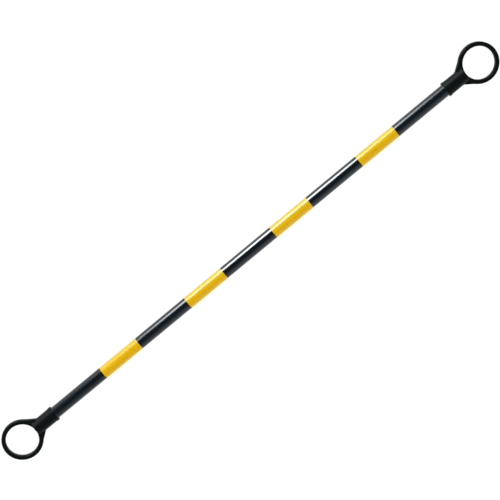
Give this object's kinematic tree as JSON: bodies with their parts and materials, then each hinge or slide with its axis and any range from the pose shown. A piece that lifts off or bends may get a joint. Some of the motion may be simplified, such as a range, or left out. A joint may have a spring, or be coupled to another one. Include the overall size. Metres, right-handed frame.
{
  "type": "cone bar",
  "caption": "Straight black and yellow striped bar with a moulded ring on a swivelling socket at each end, to drop over traffic cones and close the gap between them.",
  "frame": {"origin": "middle of the pipe, on its axis", "axes": "+X along the pipe, +Z along the ring holes, upwards as the bar hangs on two cones"},
  "size_m": [1.719, 0.114, 0.0426],
  "materials": {
    "black_pipe": "glossy extruded black plastic",
    "yellow_film": "glossy yellow film",
    "black_moulding": "satin moulded black plastic",
    "plug_moulding": "plain moulded dark plastic"
  },
  "bodies": {
    "bar": {"pipe": "black_pipe", "yellow_band_1": "yellow_film", "yellow_band_2": "yellow_film", "yellow_band_3": "yellow_film", "yellow_band_4": "yellow_film", "end_plug_left": "plug_moulding", "end_plug_right": "plug_moulding"},
    "left_end": {"ring_end_left": "black_moulding"},
    "right_end": {"ring_end_right": "black_moulding"}
  },
  "joints": [
    {"name": "left_ring_swivel", "type": "hinge", "parent": "bar", "child": "left_end", "pos_m": [-0.75, 0, 0], "axis": [1, 0, 0], "continuous": true},
    {"name": "right_ring_swivel", "type": "hinge", "parent": "bar", "child": "right_end", "pos_m": [0.75, 0, 0], "axis": [1, 0, 0], "continuous": true}
  ]
}
